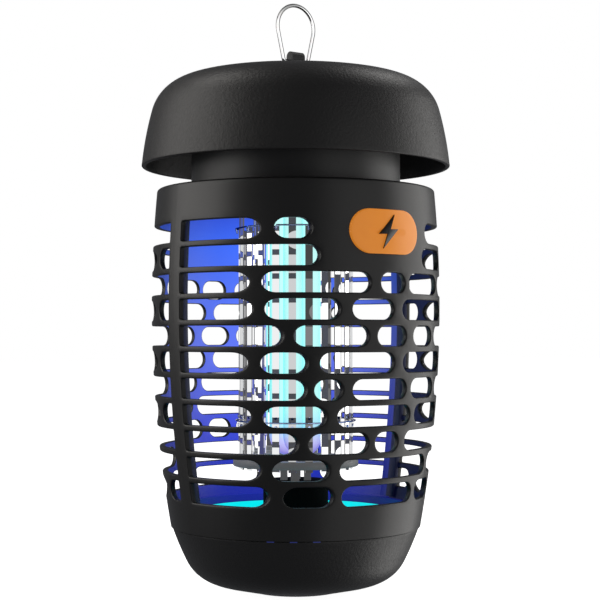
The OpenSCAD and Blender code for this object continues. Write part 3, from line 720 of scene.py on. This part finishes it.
for k in range(3):
    middle = LUG_FIRST + 120 * k
    ends = (middle - LUG_SPREAD, middle + LUG_SPREAD)
    lug = ring_part("tray_lug", *ends, COLLAR_R - 1, LUG_OUT_R, LUG_LOW, LUG_LOW + LUG_H)
    finish_piece(lug, "tray", "tray_black", tray_plastic, replaces=("collection_tray",))


def plain_plastic(name, colour, roughness, tint=0.06):
    """Smooth moulded plastic with a slight mottle."""
    material, tree, shader = new_material(name)
    mottle = object_texture(tree, "ShaderNodeTexNoise", 4.0, Detail=4.0)
    deep = tuple(c * (1 - tint) for c in colour)
    tone = ramp(tree, mottle.outputs["Fac"], [(0.35, deep), (0.65, colour)])
    tree.links.new(tone.outputs[0], shader.inputs["Base Color"])
    shader.inputs["Roughness"].default_value = roughness
    bump_from(tree, shader, mottle.outputs["Fac"], 0.01)
    return material


# Painted light: the lamp's blue light leaking through the notches, painted as small blue pieces with a
# faint emission.
painted_leak_blue = plain_plastic("painted_leak_blue", (0.02, 0.03, 0.12), 0.4)
shader = painted_leak_blue.node_tree.nodes["Principled BSDF"]
shader.inputs["Emission Color"].default_value = (0.10, 0.14, 0.8, 1)
shader.inputs["Emission Strength"].default_value = 0.12
MARK_TURN, MARK_STEP, MARK_SPREAD = -127.4, 10, 1.6
for k in (-1, 0, 1):
    middle = MARK_TURN + MARK_STEP * k
    ends = (middle - MARK_SPREAD, middle + MARK_SPREAD)
    mark = ring_part("seam_mark_painted_leak", *ends, TRAY_R - 1, TRAY_R + 0.02, rim_z - 0.3, rim_z + 0.1)
    finish_piece(mark, "tray", "tray_black", painted_leak_blue, replaces=("collection_tray",))


# -------- Bail
# The bail is one length of bright nickel-plated wire bent to a pear shape. Both ends turn in to
# the lug's eye, where it swings, and the object hangs from its loop.
WIRE_R, LOOP_R, BEND_R, LUG_HALF, FOOT_IN, FOOT_OUT = 1.0, 12, 1.5, 4, 3, 2.7
PIVOT_Z, LOOP_RISE = 282.5, 18.7
loop_z, bend_x, bend_z = PIVOT_Z + LOOP_RISE, LUG_HALF + FOOT_OUT, PIVOT_Z + BEND_R
apart = math.hypot(bend_x, loop_z - bend_z)
lean = math.degrees(math.asin((LOOP_R - BEND_R) / apart) - math.atan2(bend_x, loop_z - bend_z))


def wire(name, path, radius, sides=20):
    """A round wire along a path in millimetres, with flat ends."""
    points, faces = [], []
    for i, p in enumerate(path):
        along = (Vector(path[min(i + 1, len(path) - 1)]) - Vector(path[max(i - 1, 0)])).normalized()
        across = along.cross(Vector((0, 1, 0)) if abs(along.y) < 0.9 else Vector((1, 0, 0))).normalized()
        up = along.cross(across)
        for k in range(sides):
            a = 2 * math.pi * k / sides
            points.append(Vector(p) + (across * math.cos(a) + up * math.sin(a)) * radius)
    for i in range(len(path) - 1):
        for k in range(sides):
            m = (k + 1) % sides
            faces.append((i * sides + k, i * sides + m, (i + 1) * sides + m, (i + 1) * sides + k))
    faces.append(tuple(reversed(range(sides))))
    faces.append(tuple((len(path) - 1) * sides + k for k in range(sides)))
    piece = mesh_object(name, points, faces)
    outward(piece)
    return shade(piece, 50)


def bright_metal(name, colour, roughness):
    """Polished metal with faint scuffs."""
    material, tree, shader = new_material(name)
    scuffs = object_texture(tree, "ShaderNodeTexNoise", 6.0, Detail=3.0)
    shader.inputs["Metallic"].default_value = 1
    tone = ramp(tree, scuffs.outputs["Fac"], [(0.35, tuple(c * 0.94 for c in colour)), (0.65, colour)])
    tree.links.new(tone.outputs[0], shader.inputs["Base Color"])
    smooth, rough = (roughness * 0.8,) * 3, (roughness * 1.2,) * 3
    polish = ramp(tree, scuffs.outputs["Fac"], [(0.3, smooth), (0.7, rough)])
    tree.links.new(polish.outputs[0], shader.inputs["Roughness"])
    return material


def mirror_wire(name, core, edge):
    """Nickel-plated wire, polished to a mirror, with a painted reflection: its colour runs from bright at
    its core to dark at its edges by the facing angle.
    """
    material, tree, shader = new_material(name)
    scuffs = object_texture(tree, "ShaderNodeTexNoise", 3.0, Detail=3.0)
    # Painted reflection: the facing angle sets the colour, bright where the wire faces the view and dark at
    # its edges, with a faint scuff mottle multiplied in.
    facing = tree.nodes.new("ShaderNodeLayerWeight")
    facing.inputs["Blend"].default_value = 0.5
    painted_reflection = ramp(tree, facing.outputs["Facing"], [(0.09, core), (0.27, edge)])
    scuffed_painted_reflection = tree.nodes.new("ShaderNodeMix")
    scuffed_painted_reflection.data_type = "RGBA"
    scuffed_painted_reflection.blend_type = "MULTIPLY"
    scuffed_painted_reflection.inputs["Factor"].default_value = 0.12
    tree.links.new(painted_reflection.outputs[0], scuffed_painted_reflection.inputs[6])
    tree.links.new(scuffs.outputs["Color"], scuffed_painted_reflection.inputs[7])
    tree.links.new(scuffed_painted_reflection.outputs[2], shader.inputs["Base Color"])
    shader.inputs["Specular Tint"].default_value = (*edge, 1)
    shader.inputs["Metallic"].default_value = 1
    shader.inputs["Roughness"].default_value = 0
    return material


half = [(bend_x + r, 0, bend_z + z) for r, z in arc((0, -BEND_R), BEND_R, -90, -lean, 10)]
foot = [(x, 0, PIVOT_Z) for x in (LUG_HALF - FOOT_IN, LUG_HALF - 1, LUG_HALF)] + half
over = [
    (LOOP_R * math.cos(math.radians(a)), 0, loop_z + LOOP_R * math.sin(math.radians(a)))
    for a in [-lean + (180 + 2 * lean) * i / 48 for i in range(49)]
]
bail_path = foot + over + [(-x, y, z) for x, y, z in reversed(foot)]
bail_steel = mirror_wire("bail_steel", (0.98, 0.98, 0.98), (0.12, 0.12, 0.12))
bail = wire("bail_wire", bail_path, WIRE_R)
finish_piece(bail, "bail", "bail_steel", bail_steel, replaces=("hanging_bail",))


# -------- Screw columns
# Four round columns, moulded in one with the hood, stand on the neck's floor. The hood's screws
# go up into them from below.
COLUMN_R, COLUMN_OUT, COLUMN_MIDDLE, COLUMN_TOP = 4.5, 40, 245, 274
column_low = neck_low + NECK_WALL + 0.05
for k in range(4):
    a = math.radians(90 * k)
    x, y = COLUMN_OUT * math.cos(a), COLUMN_OUT * math.sin(a)
    at = [(x, y, z) for z in (column_low, COLUMN_MIDDLE, COLUMN_TOP)]
    column = wire("screw_column", at, COLUMN_R, 32)
    finish_piece(column, "housing", "hood_black", satin_black, replaces=("hood",))


# -------- Screws and lug nut
# Zinc-plated pan-head screws hold the hood, the cage, the grid's disc and the circuit board. A
# steel nut over a thick washer holds the lug from inside the crown.
def dress(material, *nodes, round_by=0.0):
    """Gives carried-over pieces a material, and a small round on their edges."""
    for node in nodes:
        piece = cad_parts[node]
        piece.data.materials.clear()
        piece.data.materials.append(material)
        if round_by:
            bevel = piece.modifiers.new("rounded_edges", "BEVEL")
            bevel.width = round_by * MM
            bevel.segments = 2
            bevel.limit_method = "ANGLE"
            bevel.angle_limit = math.radians(40)
            bevel.harden_normals = False


screw_steel = bright_metal("screw_steel", (0.6, 0.6, 0.6), 0.3)
dress(screw_steel, "hood_screws", "cage_screws", "grid_bolts", "board_screws", "lug_nut", round_by=0.15)


# -------- Lug
# The lug is a black moulded eye block on a round flange. Its threaded shank goes through the
# crown to the nut inside.
dress(plain_plastic("lug_black", (0.007, 0.007, 0.007), 0.5), "hanger_lug", round_by=0.5)


# -------- Cord inlet
# A dome-topped gland of black nylon with a bore for the mains cord. Its nut clamps it to the crown
# behind the lug.
dress(plain_plastic("gland_black", (0.014, 0.014, 0.014), 0.45), "cord_gland", "gland_nut", round_by=0.2)


# -------- Hood seal
# A flat ring of black rubber, which the hood's screws squeeze between the neck's upper edge and
# the hood.
dress(plain_plastic("seal_rubber", (0.012, 0.012, 0.012), 0.8), "hood_seal")


# -------- Insulating disc and spacers
# A white ceramic disc under the neck holds the strips' upper ends apart. Bolts go through it and
# its white spacers into the neck's floor.
ceramic = plain_plastic("insulator_white", (0.78, 0.77, 0.74), 0.3)
dress(ceramic, "grid_insulator", "grid_spacers", round_by=0.3)


# -------- Lampholder and lamp cap
# White moulded plastic. The holder's flange stands on the neck's floor, and the lamp's cap plugs
# into it from below with four pins.
dress(plain_plastic("lamp_plastic", (0.8, 0.8, 0.78), 0.4), "lamp_socket", "lamp_cap", round_by=0.3)


# -------- Circuit board
# Glass-fibre laminate under green solder mask, screwed down on four posts in the neck.
dress(plain_plastic("board_green", (0.02, 0.16, 0.07), 0.35, 0.2), "circuit_board")


# -------- Transformer
# The step-up transformer stands on the board: a core of black varnished laminations, and a
# winding under amber tape on its middle leg.
dress(plain_plastic("core_black", (0.03, 0.03, 0.035), 0.6), "transformer_core", round_by=0.2)
dress(plain_plastic("coil_tape", (0.62, 0.34, 0.08), 0.45, 0.2), "transformer_coil", round_by=0.3)


# -------- Small parts on the board
# Capacitors in blue sleeves, beige ceramic resistors, a voltage multiplier potted in black resin
# and a glass fuse, all soldered to the board.
dress(plain_plastic("sleeve_blue", (0.03, 0.09, 0.35), 0.3), "capacitors", round_by=0.4)
dress(plain_plastic("resistor_beige", (0.5, 0.4, 0.24), 0.5), "resistors", round_by=0.3)
dress(plain_plastic("potting_black", (0.01, 0.012, 0.016), 0.4), "voltage_multiplier", round_by=0.3)
dress(plain_plastic("fuse_white", (0.7, 0.7, 0.7), 0.3), "fuse", round_by=0.2)


# -------- Leads
# Single insulated wires: brown from the inlet to the board, white to the lampholder, and red
# silicone ones down to the grid.
dress(plain_plastic("lead_brown", (0.09, 0.035, 0.012), 0.5), "mains_leads")
dress(plain_plastic("lead_white", (0.7, 0.7, 0.68), 0.5), "lamp_leads")
dress(plain_plastic("lead_red", (0.4, 0.03, 0.02), 0.5), "grid_leads")


# -------- Base frame
# The base frame is a black ring with three spokes and a hub. The ring's inner side, like the
# cage's, has the lamp's deep blue light painted on as emission.
# Painted shade: the frame's black plastic is made darker and far less glossy than the other blacks, so the
# hub under the lamp stays pure black.
frame_black_painted_shade = plain_plastic("frame_black_painted_shade", (0.004, 0.004, 0.004), 0.85)
frame_black_painted_shade.node_tree.nodes["Principled BSDF"].inputs["Specular IOR Level"].default_value = 0.08
dress(frame_black_painted_shade, "base_frame", round_by=0.2)
base_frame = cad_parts["base_frame"]
base_frame.data.materials.append(painted_glow_rear)
RING_FROM = 58
for polygon in base_frame.data.polygons:
    middle = polygon.center / MM
    if math.hypot(middle.x, middle.y) > RING_FROM:
        polygon.material_index = 1


# -------- Badge
# A pill-shaped plaque in orange that follows the barrel, with a raised black bolt of lightning.
# It snaps into the front half of the cage.
BADGE_HALF_W, BADGE_HALF_H, BADGE_Z, BADGE_OUT, BOLT_OUT = 21.5, 11.1, 186.6, 1.2, 2.0
BADGE_ROUND, BOLT_TAPER = 0.45, 0.12
FACE_INSETS = (1.5, 3, 4.5, 6, 7.5, 9, 10)


def pill(inset, steps=28):
    """The plaque's outline, set in by a distance."""
    r = BADGE_HALF_H - inset
    points = []
    for side in (1, -1):
        for i in range(steps + 1):
            a = math.pi * (i / steps - 0.5) + (0 if side > 0 else math.pi)
            points.append((side * (BADGE_HALF_W - BADGE_HALF_H) + r * math.cos(a), r * math.sin(a)))
        x0, y0 = points[-1]
        points += [(x0 - side * 2 * (BADGE_HALF_W - BADGE_HALF_H) * k / 8, y0) for k in range(1, 8)]
    return points


def plaque(name, outline, face_insets, low, high):
    """A raised shape on the front of the barrel: outline(inset) drawn at a distance out from the wall."""
    levels = [(0, low), (0, high - BADGE_ROUND)]
    levels += [(BADGE_ROUND * (1 - math.cos(a)), high - BADGE_ROUND * (1 - math.sin(a)))
               for a in (math.radians(d) for d in (30, 60, 90))]
    levels += [(k, high) for k in face_insets]
    points, faces = [], []
    for inset, out in levels:
        for x, z in outline(inset):
            y = -math.sqrt((barrel(BADGE_Z + z) + out) ** 2 - x * x)
            points.append((x, y, BADGE_Z + z))
    count = len(outline(0))
    for k in range(len(levels) - 1):
        for i in range(count):
            m = (i + 1) % count
            faces.append((k * count + i, k * count + m, (k + 1) * count + m, (k + 1) * count + i))
    faces.append(tuple(reversed(range(count))))
    faces.append(tuple((len(levels) - 1) * count + i for i in range(count)))
    piece = mesh_object(name, points, faces)
    outward(piece)
    return shade(piece, 50)


def bolt(inset):
    """The bolt of lightning's outline, drawn in toward its middle by a share of the inset."""
    shape = [(3.9, 8.6), (-6.2, -1.4), (-0.9, -1.2), (-3.9, -8.6), (6.2, 1.4), (0.9, 1.2)]
    k = 1 - inset * BOLT_TAPER
    return [(x * k, z * k) for x, z in shape]


badge_orange = plain_plastic("badge_orange", (0.72, 0.24, 0.025), 0.35)
# Painted light: an orange emission brightens the plaque beyond what the lights give it.
shader = badge_orange.node_tree.nodes["Principled BSDF"]
shader.inputs["Emission Color"].default_value = (0.72, 0.225, 0.017, 1)
shader.inputs["Emission Strength"].default_value = 0.5
badge_black = plain_plastic("badge_black", (0.012, 0.011, 0.010), 0.35)
badge = plaque("badge_plaque", pill, FACE_INSETS, 0.02, BADGE_OUT)
finish_piece(badge, "housing", "badge_orange", badge_orange, replaces=("front_badge",))
flash = plaque("badge_bolt", bolt, (), BADGE_OUT - 0.1, BOLT_OUT)
finish_piece(flash, "housing", "badge_orange", badge_black, replaces=("front_badge",))


# -------- Grid
# Twenty-two polished steel strips stand in a ring round the lamp, every second one live. Short
# staples of wire join neighbouring live strips at the top, and a wire ring the earthed ones below.
GRID_R, STRIP_COUNT, STRIP_FIRST, LINK_R = 30.3, 22, -129.8, 32.3
live_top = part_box("live_strips")[1].z / MM
strip_steel, tree, shader = new_material("strip_steel")
shader.inputs["Metallic"].default_value = 1
shader.inputs["Roughness"].default_value = 0.0
where = tree.nodes.new("ShaderNodeTexCoord")
turned = tree.nodes.new("ShaderNodeMapping")
turned.inputs["Rotation"].default_value = (0, 0, math.radians(-STRIP_FIRST + 360 / STRIP_COUNT / 2))
round_axis = tree.nodes.new("ShaderNodeTexGradient")
round_axis.gradient_type = "RADIAL"
bands = tree.nodes.new("ShaderNodeMath")
bands.operation = "MULTIPLY"
bands.inputs[1].default_value = STRIP_COUNT
whole = tree.nodes.new("ShaderNodeMath")
whole.operation = "FLOOR"
painted_reflection_pick = tree.nodes.new("ShaderNodeTexWhiteNoise")
painted_reflection_pick.noise_dimensions = "1D"
tree.links.new(where.outputs["Object"], turned.inputs["Vector"])
tree.links.new(turned.outputs[0], round_axis.inputs["Vector"])
tree.links.new(round_axis.outputs["Fac"], bands.inputs[0])
tree.links.new(bands.outputs[0], whole.inputs[0])
tree.links.new(whole.outputs[0], painted_reflection_pick.inputs["W"])
# Painted reflection: each strip gets one flat grey at random, from near black to near white, standing in
# for what its polished face reflects.
tone = ramp(tree, painted_reflection_pick.outputs["Value"], [
    (0.0, (0.10, 0.10, 0.105)), (0.30, (0.55, 0.56, 0.57)), (0.60, (0.80, 0.81, 0.82)),
    (0.80, (0.95, 0.95, 0.95)),
])
tone.color_ramp.interpolation = "CONSTANT"
tree.links.new(tone.outputs[0], shader.inputs["Base Color"])
# Painted light: a faint white emission on every strip.
shader.inputs["Emission Color"].default_value = (1, 0.98, 0.95, 1)
shader.inputs["Emission Strength"].default_value = 0.06
dress(strip_steel, "live_strips", "earth_strips", round_by=0.12)

# Painted light and reflection: the link wires are tinted blue for the lamp's light on them, with a bright
# core and dark edges painted by the facing angle.
link_steel_painted_blue = mirror_wire("link_steel_painted_blue", (0.45, 0.56, 0.85), (0.12, 0.16, 0.3))


def joined(name, pieces):
    """One object made of several."""
    mesh = bmesh.new()
    for piece in pieces:
        mesh.from_mesh(piece.data)
        bpy.data.objects.remove(piece)
    whole_mesh = bpy.data.meshes.new(name)
    mesh.to_mesh(whole_mesh)
    mesh.free()
    piece = bpy.data.objects.new(name, whole_mesh)
    bpy.context.scene.collection.objects.link(piece)
    return shade(piece, 50)


def at_strip(index, r, z):
    """The point at a strip's angle, at a radius and a height."""
    a = math.radians(STRIP_FIRST + index * 360 / STRIP_COUNT)
    return Vector((r * math.cos(a), r * math.sin(a), z))


STAPLE_WIRE_R, STAPLE_RISE, STAPLE_FOOT, STAPLE_SHIFT = 0.45, 0.4, -2.2, 0.6
staples = []
for i in range(1, STRIP_COUNT, 2):
    near = at_strip(i, LINK_R, live_top + STAPLE_RISE)
    far = at_strip(i + 2, LINK_R, live_top + STAPLE_RISE)
    along = (far - near).normalized()
    shift = along * STAPLE_SHIFT
    near, far = near + shift, far - shift
    near_foot = at_strip(i, GRID_R + 1.2, live_top + STAPLE_FOOT) + shift
    far_foot = at_strip(i + 2, GRID_R + 1.2, live_top + STAPLE_FOOT) - shift
    path = [near_foot, near_foot.lerp(near, 0.75), near + along * 0.5, near + along * 1.6]
    path += [near.lerp(far, k / 6) for k in range(1, 6)]
    path += [far - along * 1.6, far - along * 0.5, far_foot.lerp(far, 0.75), far_foot]
    staples.append(wire("staple", path, STAPLE_WIRE_R, 10))
live_link = joined("live_staples", staples)
finish_piece(live_link, "housing", "link_wire", link_steel_painted_blue, replaces=("live_link",))

EARTH_LINK_Z, EARTH_WIRE_R, DOT_R, DOT_RISE = 90, 0.4, 0.75, 2.3
path = [at_strip(k / 4, LINK_R - 0.4, EARTH_LINK_Z) for k in range(4 * STRIP_COUNT + 1)]
ring = wire("earth_wire", path, EARTH_WIRE_R, 10)
dots = []
for i in range(STRIP_COUNT):
    for z in (EARTH_LINK_Z - DOT_RISE, EARTH_LINK_Z + DOT_RISE):
        here = at_strip(i, GRID_R + 0.4, z)
        out = here.copy()
        out.z = 0
        dots.append(wire("dot", [here + out.normalized() * k for k in (0, 0.25, 0.45)], DOT_R, 12))
earth_link = joined("earth_ring_and_welds", [ring] + dots)
finish_piece(earth_link, "housing", "link_wire", link_steel_painted_blue, replaces=("earth_ring",))


# -------- Spider
# The spider is a grey moulded ring on four arms whose legs sweep down to the hub. The strips'
# lower ends stand in its slots.
spider_low, spider_high = (corner.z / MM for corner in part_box("grid_spider"))
SPIDER_T, ARM_HALF, SOFT = 4.0, 2.2, 0.3
HOOP_IN, HOOP_OUT, DISC_R = 26.5, 33.5, 8
LEG_IN, LEG_OUT, SWEEP_R, ARM_OUT = 4.5, 8.1, 4.4, 27.5
arm_z = spider_high - SPIDER_T
grey_plastic = plain_plastic("grey_plastic", (0.16, 0.165, 0.17), 0.42)
# Painted light: a faint white emission lightens the grey plastic.
shader = grey_plastic.node_tree.nodes["Principled BSDF"]
shader.inputs["Emission Color"].default_value = (1, 1, 1, 1)
shader.inputs["Emission Strength"].default_value = 0.055
hoop = spin("spider_hoop", [
    (HOOP_IN, arm_z + SOFT), (HOOP_IN + SOFT, arm_z), (HOOP_OUT - SOFT, arm_z), (HOOP_OUT, arm_z + SOFT),
    (HOOP_OUT, spider_high - SOFT), (HOOP_OUT - SOFT, spider_high), (HOOP_IN + SOFT, spider_high),
    (HOOP_IN, spider_high - SOFT),
], steps=128)
disc = spin("spider_disc", [
    (0, arm_z), (DISC_R - SOFT, arm_z), (DISC_R, arm_z + SOFT), (DISC_R, spider_high - SOFT),
    (DISC_R - SOFT, spider_high), (0, spider_high),
], steps=48, closed=False)
arms = []
# The arm's side view: flat on top, with its underside sweeping down into the leg.
sweep = [(LEG_OUT + SWEEP_R * (1 - math.cos(a)), arm_z - SWEEP_R * (1 - math.sin(a)))
         for a in (math.radians(d) for d in range(0, 91, 10))]
side = [(LEG_IN, spider_low), (LEG_OUT, spider_low)] + sweep
side += [(ARM_OUT, arm_z), (ARM_OUT, spider_high), (LEG_IN, spider_high)]
for k in range(4):
    a = math.radians(STRIP_FIRST + 90 * k)
    points = []
    for w in (-ARM_HALF, ARM_HALF):
        for r, z in side:
            x, y = r * math.cos(a) - w * math.sin(a), r * math.sin(a) + w * math.cos(a)
            points.append((x, y, z))
    n = len(side)
    faces = [tuple(range(n)), tuple(n + i for i in reversed(range(n)))]
    faces += [(i, n + i, n + (i + 1) % n, (i + 1) % n) for i in range(n)]
    arm = mesh_object("arm", points, faces)
    outward(arm)
    arms.append(arm)
spider = joined("spider_moulding", [hoop, disc] + arms)
finish_piece(spider, "housing", "grey_plastic", grey_plastic, replaces=("grid_spider",))


# -------- Lamp
# Four parallel glass tubes, lit pale turquoise, whiter along their middles and violet at the foot,
# stand in the lampholder's cap and hang into the ring of strips.
lamp_low, lamp_high = (corner.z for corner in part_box("uv_lamp"))
lamp_light, tree, shader = new_material("lamp_light")
shader.inputs["Base Color"].default_value = (0.1, 0.3, 0.3, 1)
shader.inputs["Roughness"].default_value = 0.2
where, level = level_between(tree, lamp_low, lamp_high)
edge_colour = ramp(tree, level.outputs[0], [
    (0.0, (0.20, 0.16, 0.66)), (0.05, (0.30, 0.24, 0.74)), (0.10, (0.20, 0.48, 0.84)),
    (0.16, (0.20, 0.84, 0.84)), (0.9, (0.28, 0.86, 0.82)),
])
core_colour = ramp(tree, level.outputs[0], [
    (0.0, (0.42, 0.32, 0.80)), (0.06, (0.55, 0.50, 0.90)), (0.13, (0.42, 0.80, 0.95)),
    (0.18, (0.52, 0.96, 0.93)), (0.9, (0.58, 0.96, 0.93)),
])
facing = tree.nodes.new("ShaderNodeLayerWeight")
facing.inputs["Blend"].default_value = 0.35
glare = tree.nodes.new("ShaderNodeMix")
glare.data_type = "RGBA"
middle = ramp(tree, facing.outputs["Facing"], [(0.05, (1, 1, 1)), (0.45, (0, 0, 0))])
tree.links.new(middle.outputs[0], glare.inputs["Factor"])
tree.links.new(edge_colour.outputs[0], glare.inputs["A"])
tree.links.new(core_colour.outputs[0], glare.inputs["B"])
tree.links.new(glare.outputs["Result"], shader.inputs["Emission Color"])
shader.inputs["Emission Strength"].default_value = 0.95
dress(lamp_light, "uv_lamp")
